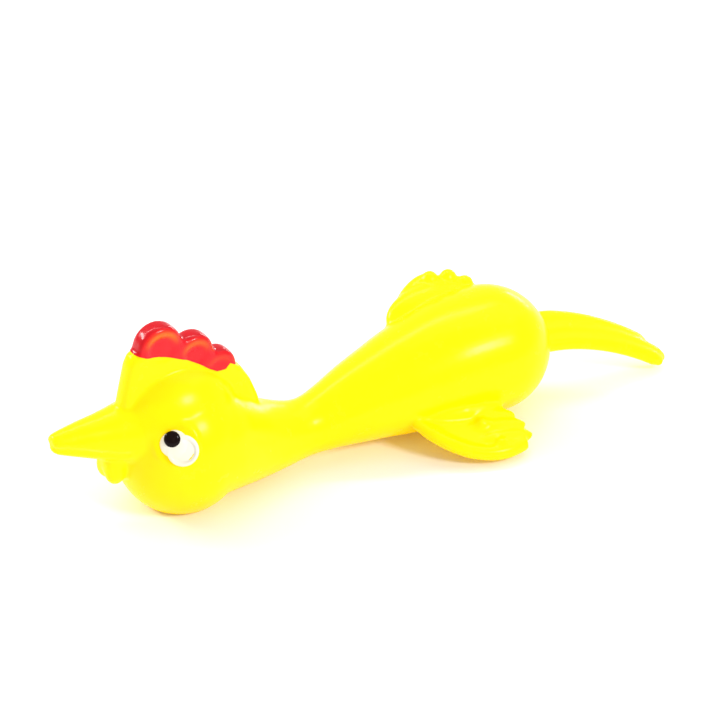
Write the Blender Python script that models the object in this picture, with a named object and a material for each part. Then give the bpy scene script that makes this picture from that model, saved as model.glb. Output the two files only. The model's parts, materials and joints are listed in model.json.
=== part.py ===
"""Rubber chicken of the stretch-and-flick kind: a small soft moulding with painted eyes and comb.

The head stands on the rim of its finger pocket, the neck is the stretchy part, and the body lies on
its belly, rolled towards its left wing.  The rubber is divided where it flexes, and every division
is a joint: neck stretch, neck twist, head nod, comb flop, two wing flaps and two bends of the tail.

Units are metres, +Z is up, the beak points to -X and the tail to +X.  Everything is laid out from
the middle of the head; the last step moves the model so that the bottom centre of its box is the
origin.
"""
import math

import bmesh
import bpy
from mathutils import Matrix, Vector

MM = 0.001

# ---------------------------------------------------------------- driving dimensions
CLEARANCE = 0.3 * MM            # gap between pieces that would be one skin or touch

HEAD_RADIUS = 11.4 * MM
HEAD_HALF_HEIGHT = 12.5 * MM
HEAD_CENTRE_Z = 10.5 * MM       # lower than the half height: the ball is cut flat at its rim
POCKET_RADIUS = 5.1 * MM
POCKET_DEPTH = 15.0 * MM

BEAK_LENGTH = 13.9 * MM         # past the front of the ball
BEAK_BASE_RADIUS = 5.3 * MM
BEAK_TIP_RADIUS = 1.0 * MM
BEAK_BASE_Z = 16.4 * MM
BEAK_TIP_Z = 17.6 * MM

WATTLE_HALF_HEIGHT = 3.0 * MM
WATTLE_RADIUS = 2.1 * MM
WATTLE_HALF_WIDTH = 1.7 * MM

PUPIL_RADIUS = 1.4 * MM
EYE_RADIUS = 2.55 * MM
EYE_RISE = 0.55 * MM            # how far the white dome stands off the head
EYE_FORWARD = 5.67 * MM         # pupil centre ahead of the head centre
EYE_ABOVE = 6.5 * MM            # pupil centre above the head centre

COMB_THICKNESS = 4.0 * MM
COMB_HINGE_Z = 25.9 * MM        # height of the flop line over the head centre
COMB_SLOPE = math.radians(17.0)
COMB_FRONT = 11.2 * MM
COMB_BACK = 11.4 * MM
COMB_PAINT = 0.35 * MM          # wall of the red cap
COMB_LOBES = ((-6.2 * MM, 3.6 * MM, 4.4 * MM),      # along the flop line, above it, radius
              (1.1 * MM, 2.6 * MM, 3.8 * MM),
              (7.3 * MM, 0.2 * MM, 3.7 * MM))

NECK_LENGTH = 59.7 * MM         # head centre to the middle of the round rump
RUMP_RADIUS = 11.0 * MM
WAIST_RADIUS = 5.0 * MM         # thinnest place of the neck
WAIST_Z = 6.2 * MM
THROAT_RADIUS = 6.6 * MM        # where the neck meets the head
THROAT_Z = 7.0 * MM
ROLL = math.radians(24.0)       # the body leans towards its left wing
RIGHT_WING_ROLL = math.radians(45.0)    # the free wing stands higher than the one on the table

WING_THICKNESS = 2.6 * MM
WING_DROP = 1.0 * MM            # wing plane below the middle of the body
FEATHER_RADIUS = 1.2 * MM       # round ends of the left wing's flight feathers
FAN_RADIUS = 1.9 * MM           # round ends of the right wing's fanned feathers

TAIL_WIDTH = 7.0 * MM
TAIL_THICKNESS = 3.2 * MM
TAIL_LENGTH = 20.5 * MM
TAIL_ROLL = math.radians(36.0)
TAIL_ROOT_Z = 10.6 * MM
TAIL_TIP_Z = 1.3 * MM
TAIL_TIP_DRIFT = 4.5 * MM       # the tip lies this far to the left

SEGMENTS = 28                   # around the neck and body
COLOURS = {
    "yellow": (0.95, 0.87, 0.02),
    "red": (0.72, 0.01, 0.02),
    "white": (0.92, 0.91, 0.86),
    "black": (0.008, 0.008, 0.008),
}

# ---------------------------------------------------------------- places that follow
HEAD_CENTRE = Vector((0.0, 0.0, HEAD_CENTRE_Z))
RUMP_X = NECK_LENGTH
RUMP_Z = RUMP_RADIUS
WAIST_X = 0.397 * NECK_LENGTH
TWIST_X = WAIST_X
STRETCH_X = 0.64 * NECK_LENGTH


def clear_scene():
    for thing in list(bpy.data.objects):
        bpy.data.objects.remove(thing, do_unlink=True)


def material(name):
    found = bpy.data.materials.get(name)
    if found:
        return found
    made = bpy.data.materials.new(name)
    made.use_nodes = True
    shader = made.node_tree.nodes["Principled BSDF"]
    shader.inputs["Base Color"].default_value = (*COLOURS[name], 1.0)
    shader.inputs["Roughness"].default_value = 0.25
    shader.inputs["Metallic"].default_value = 0.0
    return made


def add_object(name, mesh_builder, colour, parent=None):
    """Make one named object from a bmesh whose points are in world places."""
    mesh = bpy.data.meshes.new(name)
    bmesh.ops.recalc_face_normals(mesh_builder, faces=mesh_builder.faces)
    origin = parent.matrix_world.translation.copy() if parent else Vector()
    bmesh.ops.translate(mesh_builder, verts=mesh_builder.verts, vec=-origin)
    mesh_builder.to_mesh(mesh)
    mesh_builder.free()
    mesh.shade_smooth()
    mesh.set_sharp_from_angle(angle=math.radians(35.0))
    thing = bpy.data.objects.new(name, mesh)
    thing.data.materials.append(material(colour))
    bpy.context.collection.objects.link(thing)
    if parent:
        thing.parent = parent
    return thing


def joint_empty(name, place, parent=None):
    """An empty on a joint's axis, to carry everything that moves with it."""
    empty = bpy.data.objects.new(name, None)
    empty.empty_display_size = 3 * MM
    bpy.context.collection.objects.link(empty)
    empty.location = place
    if parent:
        empty.parent = parent
        empty.location = place - parent.matrix_world.translation
    bpy.context.view_layer.update()
    return empty


def cut(target, cutter, operation="DIFFERENCE"):
    """Boolean with a cutter object that the build leaves out."""
    cutter.hide_render = True
    cutter.display_type = "WIRE"
    step = target.modifiers.new(cutter.name, "BOOLEAN")
    step.operation = operation
    step.solver = "EXACT"
    step.object = cutter


# ---------------------------------------------------------------- shape helpers
def smooth_value(stations, x):
    """Cubic curve through (x, value) stations; it ends level at the last one."""
    slopes = []
    for index in range(len(stations) - 1):
        before = stations[max(index - 1, 0)]
        after = stations[index + 1]
        slopes.append((after[1] - before[1]) / (after[0] - before[0]))
    slopes.append(0.0)
    for index in range(len(stations) - 1):
        x0, v0 = stations[index]
        x1, v1 = stations[index + 1]
        if x <= x1 or index == len(stations) - 2:
            t = (x - x0) / (x1 - x0)
            span = x1 - x0
            return (v0 * (2 * t**3 - 3 * t**2 + 1) + slopes[index] * span * (t**3 - 2 * t**2 + t)
                    + v1 * (3 * t**2 - 2 * t**3) + slopes[index + 1] * span * (t**3 - t**2))
    return stations[-1][1]


RADIUS_STATIONS = (
    (0.13 * NECK_LENGTH, 1.16 * THROAT_RADIUS),
    (0.26 * NECK_LENGTH, THROAT_RADIUS),
    (WAIST_X, WAIST_RADIUS),
    (0.556 * NECK_LENGTH, 1.38 * WAIST_RADIUS),
    (0.71 * NECK_LENGTH, 0.83 * RUMP_RADIUS),
    (0.86 * NECK_LENGTH, 0.965 * RUMP_RADIUS),
    (RUMP_X, RUMP_RADIUS),
)
HEIGHT_STATIONS = (
    (0.13 * NECK_LENGTH, THROAT_Z + 0.8 * MM),
    (0.26 * NECK_LENGTH, THROAT_Z),
    (WAIST_X, WAIST_Z),
    (0.556 * NECK_LENGTH, 0.5 * (WAIST_Z + RUMP_Z) - 0.5 * MM),
    (0.71 * NECK_LENGTH, RUMP_Z - 1.4 * MM),
    (0.86 * NECK_LENGTH, RUMP_Z - 0.25 * MM),
    (RUMP_X, RUMP_Z),
)


def body_radius(x):
    if x > RUMP_X:
        return math.sqrt(max(RUMP_RADIUS**2 - (x - RUMP_X)**2, 0.0))
    return smooth_value(RADIUS_STATIONS, x)


def body_height(x):
    return RUMP_Z if x > RUMP_X else smooth_value(HEIGHT_STATIONS, x)


def loft(rings):
    """Closed body through rings of equal count; the ends are filled."""
    body = bmesh.new()
    loops = [[body.verts.new(point) for point in ring] for ring in rings]
    count = len(rings[0])
    for near, far in zip(loops, loops[1:]):
        for i in range(count):
            j = (i + 1) % count
            body.faces.new((near[i], near[j], far[j], far[i]))
    body.faces.new(loops[0][::-1])
    body.faces.new(loops[-1])
    return body


def body_ring(x, radius):
    ring = []
    for i in range(SEGMENTS):
        angle = 2 * math.pi * i / SEGMENTS
        ring.append(Vector((x, radius * math.cos(angle), body_height(x) + radius * math.sin(angle))))
    return ring


def body_length(x_start, x_end, step_count):
    """A stretch of neck or body between two flat ends."""
    places = [x_start + (x_end - x_start) * i / step_count for i in range(step_count + 1)]
    return loft([body_ring(x, body_radius(x)) for x in places])


def ellipsoid(centre, half_axes, segments=SEGMENTS, rings=18, turn=None):
    body = bmesh.new()
    bmesh.ops.create_uvsphere(body, u_segments=segments, v_segments=rings, radius=1.0)
    place = Matrix.Translation(centre) @ (turn or Matrix()) @ Matrix.Diagonal((*half_axes, 1.0))
    bmesh.ops.transform(body, matrix=place, verts=body.verts)
    return body


def arc(centre, radius, start, end, step_count):
    points = []
    for i in range(step_count + 1):
        angle = start + (end - start) * i / step_count
        points.append(Vector((centre[0] + radius * math.cos(angle),
                              centre[1] + radius * math.sin(angle))))
    return points


def lobed_edge(lobes, first_angle, last_angle, step_count=6):
    """Clockwise outline over a row of overlapping circles, with a notch where two of them cross."""
    starts = [first_angle]
    ends = []
    for (x0, y0, r0), (x1, y1, r1) in zip(lobes, lobes[1:]):
        gap = Vector((x1 - x0, y1 - y0))
        along = (gap.length**2 + r0**2 - r1**2) / (2 * gap.length)
        side = math.sqrt(max(r0**2 - along**2, 0.0))
        unit = gap.normalized()
        notch = Vector((x0, y0)) + unit * along + Vector((-unit.y, unit.x)) * side
        ends.append(math.atan2(notch.y - y0, notch.x - x0))
        starts.append(math.atan2(notch.y - y1, notch.x - x1))
    ends.append(last_angle)
    points = []
    for (x, y, radius), start, end in zip(lobes, starts, ends):
        while end > start:
            end -= 2 * math.pi
        points += arc((x, y), radius, start, end, step_count)
    return drop_doubles(points)


def drop_doubles(points, least=0.15 * MM):
    kept = [points[0]]
    for point in points[1:]:
        if (point - kept[-1]).length > least:
            kept.append(point)
    if (kept[-1] - kept[0]).length <= least:
        kept.pop()
    return kept


def inset_outline(points, amount):
    """Move a clockwise outline inwards along its corner bisectors."""
    moved = []
    count = len(points)
    for i in range(count):
        before = (points[i] - points[i - 1]).normalized()
        after = (points[(i + 1) % count] - points[i]).normalized()
        inward = Vector((before.y + after.y, -before.x - after.x))
        moved.append(points[i] + inward.normalized() * amount)
    return moved


def rounded_slab(outline, thickness, edge, place):
    """A plate with softened rims: outline in the local XY plane, thickness along local Z."""
    half = thickness / 2
    layers = ((-half, edge), (-half + 0.45 * edge, 0.25 * edge), (0.0, 0.0),
              (half - 0.45 * edge, 0.25 * edge), (half, edge))
    rings = []
    for height, inset in layers:
        flat = inset_outline(outline, inset) if inset else outline
        rings.append([place @ Vector((p.x, p.y, height)) for p in flat])
    return loft(rings)


# ---------------------------------------------------------------- head and face
def grown_head(name, extra):
    half_axes = (HEAD_RADIUS + extra, HEAD_RADIUS + extra, HEAD_HALF_HEIGHT + extra)
    return add_object(name, ellipsoid(HEAD_CENTRE, half_axes, segments=36, rings=24), "yellow")


def make_head(parent):
    half_axes = (HEAD_RADIUS, HEAD_RADIUS, HEAD_HALF_HEIGHT)
    ball = ellipsoid(HEAD_CENTRE, half_axes, segments=36, rings=24)
    geometry = ball.verts[:] + ball.edges[:] + ball.faces[:]
    sliced = bmesh.ops.bisect_plane(ball, geom=geometry, plane_co=(0, 0, 0), plane_no=(0, 0, -1),
                                    clear_outer=True)
    rim = [item for item in sliced["geom_cut"] if isinstance(item, bmesh.types.BMEdge)]
    bmesh.ops.contextual_create(ball, geom=rim)
    head = add_object("head", ball, "yellow", parent)
    depth = POCKET_DEPTH - POCKET_RADIUS
    rings = []
    for height in (-2 * MM, 0.0, 0.5 * depth, depth):
        rings.append((POCKET_RADIUS, height))
    for i in range(1, 6):
        angle = 0.5 * math.pi * i / 6
        rings.append((POCKET_RADIUS * math.cos(angle), depth + POCKET_RADIUS * math.sin(angle)))
    points = [[Vector((radius * math.cos(2 * math.pi * i / 24), radius * math.sin(2 * math.pi * i / 24),
                       height)) for i in range(24)] for radius, height in rings]
    cut(head, add_object("pocket_cutter", loft(points), "yellow"))
    return head


def beak_body(extra):
    """Blunt cone from inside the head to the tip, grown all round by extra."""
    start = Vector((-0.6 * HEAD_RADIUS, 0.0, BEAK_BASE_Z - 0.3 * MM))
    tip = Vector((-HEAD_RADIUS - BEAK_LENGTH, 0.0, BEAK_TIP_Z))
    base_x = -HEAD_RADIUS - 0.2 * BEAK_LENGTH
    shape = []
    for x, radius in ((start.x, BEAK_BASE_RADIUS + 1.2 * MM), (base_x, BEAK_BASE_RADIUS - 0.3 * MM),
                      (tip.x + 0.25 * BEAK_LENGTH, 0.45 * BEAK_BASE_RADIUS),
                      (tip.x + 0.8 * BEAK_TIP_RADIUS, BEAK_TIP_RADIUS),
                      (tip.x + 0.2 * BEAK_TIP_RADIUS, 0.7 * BEAK_TIP_RADIUS),
                      (tip.x, 0.25 * BEAK_TIP_RADIUS)):
        share = (x - start.x) / (tip.x - start.x)
        z = start.z + (tip.z - start.z) * share
        shape.append([Vector((x, (radius + extra) * math.cos(2 * math.pi * i / 20),
                              z + (radius + extra) * math.sin(2 * math.pi * i / 20)))
                      for i in range(20)])
    return loft(shape)


def make_beak_and_wattle(parent):
    beak = add_object("beak", beak_body(0.0), "yellow", parent)
    cut(beak, bpy.data.objects["head_gap"])
    centre = Vector((-HEAD_RADIUS - 2.5 * MM, 0.0, BEAK_BASE_Z - BEAK_BASE_RADIUS - 1.6 * MM))
    half_axes = (WATTLE_RADIUS, WATTLE_HALF_WIDTH, WATTLE_HALF_HEIGHT)
    wattle = add_object("wattle", ellipsoid(centre, half_axes, 16, 12), "yellow", parent)
    cut(wattle, bpy.data.objects["head_gap"])
    cut(wattle, add_object("beak_gap", beak_body(CLEARANCE), "yellow"))


def head_surface(forward, above, side):
    """Point on the head and its outward normal, from its place ahead of and above the centre."""
    x = -forward
    z = above
    inside = 1 - (x / HEAD_RADIUS)**2 - (z / HEAD_HALF_HEIGHT)**2
    y = side * HEAD_RADIUS * math.sqrt(inside)
    normal = Vector((x / HEAD_RADIUS**2, y / HEAD_RADIUS**2, z / HEAD_HALF_HEIGHT**2)).normalized()
    return HEAD_CENTRE + Vector((x, y, z)), normal


def facing(normal):
    return normal.to_track_quat("Z", "Y").to_matrix().to_4x4()


def make_eye(side_name, side, parent):
    """White dome with a lower lid behind it, both in one piece, and the pupil set into the dome."""
    pupil_place, normal = head_surface(EYE_FORWARD, EYE_ABOVE, side)
    turn = facing(normal)
    domes = []
    for label, back, down, radius, rise in (("dome", 0.2 * MM, 0.95 * MM, EYE_RADIUS, EYE_RISE),
                                            ("lid", 1.3 * MM, 2.0 * MM, EYE_RADIUS, 0.6 * EYE_RISE)):
        place, lean = head_surface(EYE_FORWARD - back, EYE_ABOVE - down, side)
        half_axes = (radius, radius, rise + CLEARANCE)
        body = ellipsoid(place + lean * CLEARANCE, half_axes, 24, 10, facing(lean))
        domes.append((label, body))
    white = add_object(side_name + "_eye_white", domes[0][1], "white", parent)
    cut(white, add_object(side_name + "_eye_lid", domes[1][1], "white"), "UNION")
    cut(white, bpy.data.objects["head_gap"])
    bore = bmesh.new()
    bmesh.ops.create_cone(bore, cap_ends=True, segments=20, radius1=PUPIL_RADIUS + CLEARANCE,
                          radius2=PUPIL_RADIUS + CLEARANCE, depth=6 * MM)
    bmesh.ops.transform(bore, matrix=Matrix.Translation(pupil_place) @ turn, verts=bore.verts)
    cut(white, add_object(side_name + "_pupil_bore", bore, "white"))
    half_axes = (PUPIL_RADIUS, PUPIL_RADIUS, EYE_RISE + 2 * CLEARANCE)
    pupil = add_object(side_name + "_pupil",
                       ellipsoid(pupil_place + normal * CLEARANCE, half_axes, 20, 10, turn),
                       "black", parent)
    cut(pupil, bpy.data.objects["head_gap"])


# ---------------------------------------------------------------- comb
def comb_frame():
    """Local X runs back along the flop line, local Y up the comb, local Z across it."""
    back = Vector((math.cos(COMB_SLOPE), 0.0, -math.sin(COMB_SLOPE)))
    upward = Vector((math.sin(COMB_SLOPE), 0.0, math.cos(COMB_SLOPE)))
    across = back.cross(upward)
    turn = Matrix((back, upward, across)).transposed().to_4x4()
    return Matrix.Translation(Vector((0.0, 0.0, COMB_HINGE_Z))) @ turn


def comb_outline(shrink, low):
    """Lobed top of the comb down to a straight line at height low over the flop line."""
    lobes = [(s, h, radius - shrink) for s, h, radius in COMB_LOBES]
    edge = lobed_edge(lobes, math.pi, 0.0)
    edge = [point for point in edge if point.y > low]
    front = Vector((lobes[0][0] - lobes[0][2], low))
    back = Vector((lobes[-1][0] + lobes[-1][2], low))
    return drop_doubles([front] + edge + [back])


def make_comb(head_empty, comb_empty):
    place = comb_frame()
    half = COMB_THICKNESS / 2
    gap = COMB_PAINT + CLEARANCE
    core = rounded_slab(comb_outline(gap, -half + 0.1 * MM), COMB_THICKNESS - 2 * gap, 0.6 * MM, place)
    add_object("comb_crest", core, "yellow", comb_empty)
    outer = rounded_slab(comb_outline(0.0, 0.8 * MM), COMB_THICKNESS, 0.6 * MM, place)
    paint = add_object("comb_paint", outer, "red", comb_empty)
    inner = rounded_slab(comb_outline(COMB_PAINT, -half), COMB_THICKNESS - 2 * COMB_PAINT,
                         0.5 * MM, place)
    cut(paint, add_object("paint_cutter", inner, "red"))

    outline = [Vector(point) for point in (
        (-HEAD_RADIUS - 0.6 * MM, HEAD_CENTRE_Z + 11.0 * MM),
        (-COMB_FRONT, COMB_HINGE_Z + 2.2 * MM),
        (-0.86 * COMB_FRONT, COMB_HINGE_Z + 3.0 * MM),
        (COMB_BACK - 0.6 * MM, COMB_HINGE_Z - 2.6 * MM),
        (COMB_BACK + 0.8 * MM, COMB_HINGE_Z - 4.5 * MM),
        (COMB_BACK + 2.6 * MM, COMB_HINGE_Z - 8.2 * MM),
        (0.6 * HEAD_RADIUS, HEAD_CENTRE_Z + 5.0 * MM),
        (-0.6 * HEAD_RADIUS, HEAD_CENTRE_Z + 5.0 * MM),
    )]
    upright = Matrix.Rotation(math.radians(90), 4, "X")
    saddle = add_object("comb_saddle", rounded_slab(outline, COMB_THICKNESS, 0.7 * MM, upright),
                        "yellow", head_empty)
    cut(saddle, bpy.data.objects["head_gap"])
    groove = bmesh.new()
    bmesh.ops.create_cone(groove, cap_ends=True, segments=32, radius1=half + CLEARANCE,
                          radius2=half + CLEARANCE, depth=4 * COMB_BACK)
    bmesh.ops.transform(groove, matrix=place @ Matrix.Rotation(math.radians(90), 4, "Y"),
                        verts=groove.verts)
    cut(saddle, add_object("flop_groove", groove, "yellow"))
    above = bmesh.new()
    bmesh.ops.create_cube(above, size=1.0)
    size = Matrix.Diagonal((4 * COMB_BACK, 20 * MM, 10 * MM, 1.0))
    bmesh.ops.transform(above, matrix=place @ Matrix.Translation((0, 10 * MM, 0)) @ size,
                        verts=above.verts)
    cut(saddle, add_object("over_flop_line", above, "yellow"))
    cut(saddle, add_object("beak_gap_saddle", beak_body(CLEARANCE), "yellow"))


# ---------------------------------------------------------------- neck and body
def make_neck_and_body(root, neck, throat):
    half_gap = CLEARANCE / 2
    front = add_object("neck_front", body_length(0.55 * HEAD_RADIUS, TWIST_X - half_gap, 8),
                       "yellow", throat)
    cup_radius = max(HEAD_HALF_HEIGHT, HEAD_RADIUS) + CLEARANCE
    cup = ellipsoid(HEAD_CENTRE, (cup_radius,) * 3, segments=40, rings=28)
    cut(front, add_object("nod_cup", cup, "yellow"))
    add_object("neck_rear", body_length(TWIST_X + half_gap, STRETCH_X - half_gap, 8), "yellow", neck)

    start = STRETCH_X + half_gap
    straight = [start + (RUMP_X - start) * i / 8 for i in range(9)]
    round_end = [RUMP_X + RUMP_RADIUS * math.sin(0.5 * math.pi * i / 8) for i in range(1, 8)]
    round_end.append(RUMP_X + 0.998 * RUMP_RADIUS)
    rings = [body_ring(x, body_radius(x)) for x in straight + round_end]
    add_object("torso", loft(rings), "yellow", root)


# ---------------------------------------------------------------- wings
def rolled_frame(roll):
    """Body axes: local X back, local Y to the left side, local Z over the back, rolled."""
    left = Vector((0.0, -math.cos(roll), -math.sin(roll)))
    over = Vector((0.0, -math.sin(roll), math.cos(roll)))
    turn = Matrix((Vector((1, 0, 0)), left, over)).transposed().to_4x4()
    return Matrix.Translation(Vector((0.0, 0.0, RUMP_Z))) @ turn


def wing_axis(x_front, x_back):
    """Straight flap line that clears the swell of the flank by half the wing and the gap."""
    middle = 0.5 * (x_front + x_back)
    swell = body_radius(middle) - 0.5 * (body_radius(x_front) + body_radius(x_back))
    off = max(swell, 0.0) + WING_THICKNESS / 2 + 1.5 * CLEARANCE
    return (Vector((x_front, body_radius(x_front) + off)),
            Vector((x_back, min(body_radius(x_back), RUMP_RADIUS) + off)))


def wing_points(front, back, leading, lobes, last_angle):
    """Clockwise outline seen from over the back: root, leading edge, feather ends."""
    half = Vector((0.0, WING_THICKNESS / 2))
    points = [front - half] + [Vector(p) for p in leading]
    points += lobed_edge(lobes, math.radians(95), last_angle, 5)
    points.append(back - half)
    return drop_doubles(points)


def make_wing(name, parent, outline, side, roll):
    place = rolled_frame(roll) @ Matrix.Translation((0.0, 0.0, -WING_DROP)) @ Matrix.Diagonal((1, side, 1, 1))
    slab = rounded_slab(outline, WING_THICKNESS, 0.95 * MM, place)
    add_object(name, slab, "yellow", parent)


def flap_empty(name, front, back, side, roll):
    middle = 0.5 * (front + back)
    place = rolled_frame(roll) @ Vector((middle.x, side * middle.y, -WING_DROP))
    return joint_empty(name, place)


LEFT_ROOT = (RUMP_X - 18.0 * MM, RUMP_X - 2.0 * MM)
RIGHT_ROOT = (RUMP_X - 16.0 * MM, RUMP_X - 0.7 * MM)


def make_wings():
    front, back = wing_axis(*LEFT_ROOT)
    reach = RUMP_RADIUS + 8.6 * MM
    leading = ((front.x + 2.0 * MM, front.y + 4.1 * MM), (front.x + 5.0 * MM, front.y + 7.6 * MM),
               (front.x + 9.3 * MM, reach + 0.9 * MM), (front.x + 13.6 * MM, reach + 1.2 * MM))
    feathers = [(RUMP_X - 2.2 * MM, reach - 0.4 * MM, FEATHER_RADIUS),
                (RUMP_X - 2.1 * MM, reach - 2.3 * MM, FEATHER_RADIUS),
                (RUMP_X - 2.4 * MM, reach - 4.2 * MM, FEATHER_RADIUS)]
    outline = wing_points(front, back, leading, feathers, math.radians(-60))
    make_wing("left_wing", flap_empty("left_flap", front, back, 1, ROLL), outline, 1, ROLL)

    front, back = wing_axis(*RIGHT_ROOT)
    reach = RUMP_RADIUS + 3.6 * MM
    leading = ((front.x + 1.6 * MM, front.y + 1.0 * MM), (front.x + 5.4 * MM, reach - 0.6 * MM))
    fan = [(RUMP_X - 5.4 * MM, reach - 0.2 * MM, FAN_RADIUS),
           (RUMP_X - 2.1 * MM, reach - 0.9 * MM, FAN_RADIUS),
           (RUMP_X - 0.5 * MM, reach - 1.5 * MM, FAN_RADIUS)]
    outline = wing_points(front, back, leading, fan, math.radians(-70))
    flap = flap_empty("right_flap", front, back, -1, RIGHT_WING_ROLL)
    make_wing("right_wing", flap, outline, -1, RIGHT_WING_ROLL)


# ---------------------------------------------------------------- tail
def tail_point(share):
    """Middle line of the tail: out from the rump, over a low arch and down to the floor."""
    start_x = RUMP_X + RUMP_RADIUS + CLEARANCE + TAIL_THICKNESS / 2
    drop = TAIL_ROOT_Z - TAIL_TIP_Z
    x = start_x + (TAIL_LENGTH - TAIL_THICKNESS / 2) * share
    z = TAIL_ROOT_Z - drop * (0.35 * share + 0.65 * max(share, 0.0)**2.2)
    return Vector((x, -TAIL_TIP_DRIFT * share**2, z))


def tail_axes(share):
    """Along, across and over directions of the blade at a place along it."""
    step = 0.01
    along = (tail_point(share + step) - tail_point(share - step)).normalized()
    roll = TAIL_ROLL * (1 - 0.45 * share)
    across = Vector((0.0, math.cos(roll), math.sin(roll)))
    across = (across - along * across.dot(along)).normalized()
    return along, across, along.cross(across) * -1


def tail_blade(start, end, round_front, tip):
    """Flat blade from one share of the tail to another, with a half-round front edge."""
    radius = TAIL_THICKNESS / 2 * (1 - 0.35 * start)
    sections = []
    along, across, over = tail_axes(start)
    if round_front:
        for i in range(1, 4):
            angle = 0.5 * math.pi * i / 4
            sections.append((tail_point(start) - along * radius * math.cos(angle), across, over,
                             start, math.sin(angle)))
    for i in range(9):
        share = start + (end - start) * i / 8
        _, across, over = tail_axes(share)
        sections.append((tail_point(share), across, over, share, 1.0))
    rings = []
    for place, across, over, share, fullness in sections:
        narrowing = 1 - 0.22 * share
        thinning = 1 - 0.35 * share
        if tip:
            closing = math.sqrt(max(1 - max((share - 0.55) / 0.452, 0.0)**2.4, 0.0))
            narrowing *= closing
            thinning *= 0.35 + 0.65 * closing
        half_width = TAIL_WIDTH / 2 * narrowing
        half_thick = TAIL_THICKNESS / 2 * thinning * fullness
        rings.append([place + across * half_width * math.cos(2 * math.pi * k / 20)
                      + over * half_thick * math.sin(2 * math.pi * k / 20) for k in range(20)])
    return loft(rings)


TAIL_BEND = 0.5                 # share of the length where the tip bends


def make_tail(tail_empty, tip_empty):
    gap_share = (TAIL_THICKNESS / 2 * (1 - 0.35 * TAIL_BEND) + CLEARANCE) / TAIL_LENGTH * 1.25
    base = tail_blade(0.0, TAIL_BEND - gap_share, True, False)
    add_object("tail_base", base, "yellow", tail_empty)
    tip = tail_blade(TAIL_BEND, 1.0, True, True)
    add_object("tail_tip", tip, "yellow", tip_empty)


# ---------------------------------------------------------------- assembly
def centre_on_floor():
    """Move the whole model so that the bottom centre of its box is the origin."""
    bpy.context.view_layer.update()
    graph = bpy.context.evaluated_depsgraph_get()
    low = Vector((1.0, 1.0, 1.0))
    high = -low
    for thing in bpy.data.objects:
        if thing.type != "MESH" or thing.hide_render:
            continue
        mesh = thing.evaluated_get(graph).data
        for vertex in mesh.vertices:
            point = thing.matrix_world @ vertex.co
            low = Vector(map(min, low, point))
            high = Vector(map(max, high, point))
    shift = Vector(((low.x + high.x) / 2, (low.y + high.y) / 2, low.z))
    for thing in bpy.data.objects:
        if thing.parent is None:
            thing.location -= shift
    bpy.context.view_layer.update()


def main():
    clear_scene()
    root = joint_empty("body_middle", Vector((RUMP_X, 0.0, RUMP_Z)))
    neck = joint_empty("stretch_line", Vector((STRETCH_X, 0.0, body_height(STRETCH_X))))
    throat = joint_empty("twist_line", Vector((TWIST_X, 0.0, body_height(TWIST_X))))
    head_empty = joint_empty("nod_centre", HEAD_CENTRE)
    comb_empty = joint_empty("flop_line", Vector((0.0, 0.0, COMB_HINGE_Z)))
    tail_empty = joint_empty("tail_root", tail_point(0.0))
    tip_empty = joint_empty("tail_bend", tail_point(TAIL_BEND))

    grown_head("head_gap", CLEARANCE)
    make_head(head_empty)
    make_beak_and_wattle(head_empty)
    for side_name, side in (("left", -1), ("right", 1)):
        make_eye(side_name, side, head_empty)
    make_comb(head_empty, comb_empty)
    make_neck_and_body(root, neck, throat)
    make_wings()
    make_tail(tail_empty, tip_empty)
    for thing in bpy.data.objects:
        if thing.name.endswith("_gap"):
            thing.hide_render = True
            thing.display_type = "WIRE"
    centre_on_floor()


main()
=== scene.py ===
# %% [markdown]
# # A stretch-and-flick rubber chicken
#
# The real toy is one soft, glossy moulding of yellow rubber with a pocket for a fingertip in its
# head, and paint on its comb and eyes. A mould maker would carve it in clay: put simple bodies
# together, melt their joins into fillets, press details in, and only then cast it.
#
# This lesson works in the same order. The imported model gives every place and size. Bodies are
# modelled with Blender's operators, melted into one clay by a voxel remesh, detailed, and cut into
# pieces at the places where the rubber flexes.

# %% Load the frame
import json
import math

import bpy
import numpy as np
from mathutils import Matrix, Vector


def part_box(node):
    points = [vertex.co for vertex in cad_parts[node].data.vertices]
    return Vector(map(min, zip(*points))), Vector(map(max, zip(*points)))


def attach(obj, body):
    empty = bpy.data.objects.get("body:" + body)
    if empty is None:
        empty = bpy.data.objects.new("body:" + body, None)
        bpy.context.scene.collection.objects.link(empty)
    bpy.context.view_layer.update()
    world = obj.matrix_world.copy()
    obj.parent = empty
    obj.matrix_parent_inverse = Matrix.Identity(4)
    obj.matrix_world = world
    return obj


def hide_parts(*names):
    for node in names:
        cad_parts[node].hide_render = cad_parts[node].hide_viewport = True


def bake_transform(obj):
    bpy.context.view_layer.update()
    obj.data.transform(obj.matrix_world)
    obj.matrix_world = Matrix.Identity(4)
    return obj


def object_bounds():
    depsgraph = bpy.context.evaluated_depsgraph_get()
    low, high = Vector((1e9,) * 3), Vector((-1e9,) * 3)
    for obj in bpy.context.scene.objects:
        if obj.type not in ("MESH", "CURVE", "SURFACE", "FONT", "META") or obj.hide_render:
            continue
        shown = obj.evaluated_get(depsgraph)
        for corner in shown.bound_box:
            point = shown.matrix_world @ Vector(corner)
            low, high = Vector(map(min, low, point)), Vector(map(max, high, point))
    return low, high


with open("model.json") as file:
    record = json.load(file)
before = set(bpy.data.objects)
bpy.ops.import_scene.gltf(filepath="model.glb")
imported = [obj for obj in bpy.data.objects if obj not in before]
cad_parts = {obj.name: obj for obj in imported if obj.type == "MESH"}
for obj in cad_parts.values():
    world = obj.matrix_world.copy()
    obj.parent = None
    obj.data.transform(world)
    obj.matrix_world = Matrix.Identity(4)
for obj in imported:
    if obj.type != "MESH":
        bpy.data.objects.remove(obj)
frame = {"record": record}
CAD_BOX = [list(map(float, corner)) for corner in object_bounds()]

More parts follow.
